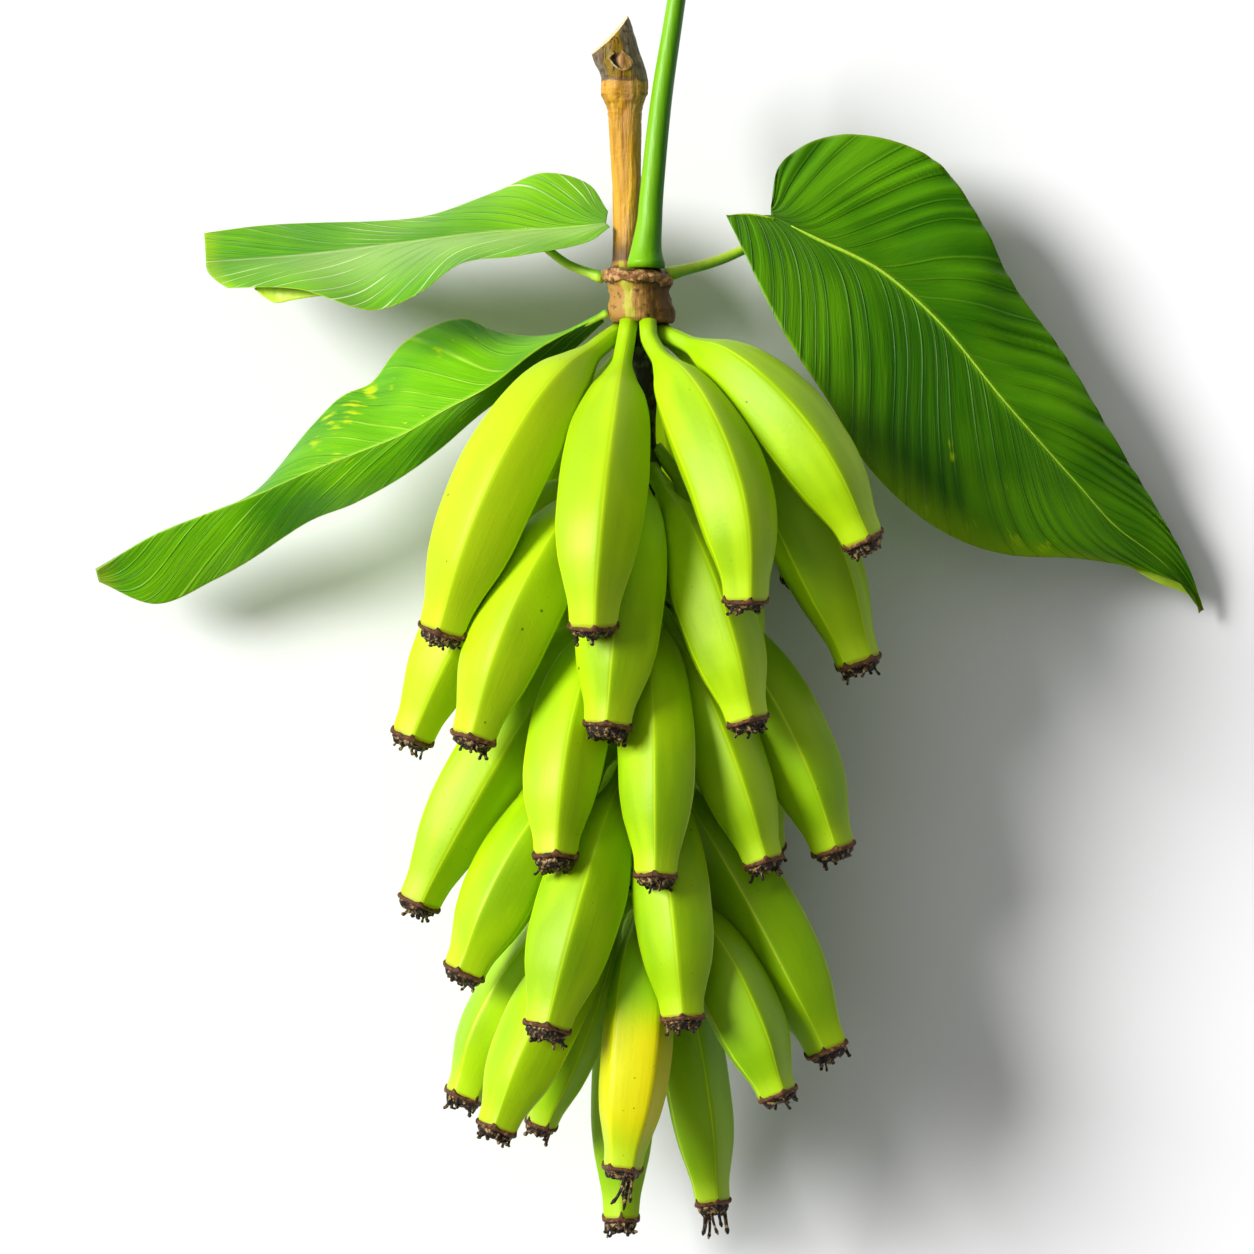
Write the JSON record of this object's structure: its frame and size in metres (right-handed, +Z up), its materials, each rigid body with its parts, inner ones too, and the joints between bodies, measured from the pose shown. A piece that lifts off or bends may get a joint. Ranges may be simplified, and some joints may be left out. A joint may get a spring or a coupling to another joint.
{
  "type": "bunch of bananas",
  "caption": "Bunch of green cooking bananas in five hands round a cut stalk, with withered flower tips and leaves at the top, lying on its back.",
  "frame": {"origin": "middle of the box's underside, on the surface that the bunch lies on", "axes": "+Z up from the surface, +Y along the stalk towards its cut stub, +X to the right seen from above with the stub away from the viewer"},
  "size_m": [0.5712, 0.6344, 0.1992],
  "materials": {
    "bark": "dry brown bark, rough, with a pale cut face",
    "green_stem": "fresh pale green stem, satin",
    "leaf": "glossy green leaf with pale parallel veins",
    "green_peel": "waxy yellow-green banana peel, satin, with fine dark specks",
    "ripening_peel": "waxy banana peel turning yellow, satin"
  },
  "bodies": {
    "root": {"stalk": "bark", "leaf_stem": "green_stem", "leaf_upper_left": "leaf", "leaf_lower_left": "leaf", "leaf_right": "leaf", "banana_01": "green_peel", "banana_02": "green_peel", "banana_03": "green_peel", "banana_04": "green_peel", "banana_05": "green_peel", "banana_06": "green_peel", "banana_07": "green_peel", "banana_08": "green_peel", "banana_09": "green_peel", "banana_10": "green_peel", "banana_11": "green_peel", "banana_12": "green_peel", "banana_13": "green_peel", "banana_14": "green_peel", "banana_15": "green_peel", "banana_16": "green_peel", "banana_17": "green_peel", "banana_18": "green_peel", "banana_19": "green_peel", "banana_20": "green_peel", "banana_21": "green_peel", "banana_22": "green_peel", "banana_23": "green_peel", "banana_24": "green_peel", "banana_25": "green_peel", "banana_26": "green_peel", "banana_27": "green_peel", "banana_28": "green_peel", "banana_29": "green_peel", "banana_30": "green_peel", "banana_31": "green_peel", "banana_32": "green_peel", "banana_33": "green_peel", "banana_34": "green_peel", "banana_35": "green_peel", "banana_36": "green_peel", "banana_37": "ripening_peel", "banana_38": "green_peel", "banana_39": "green_peel"}
  },
  "joints": []
}
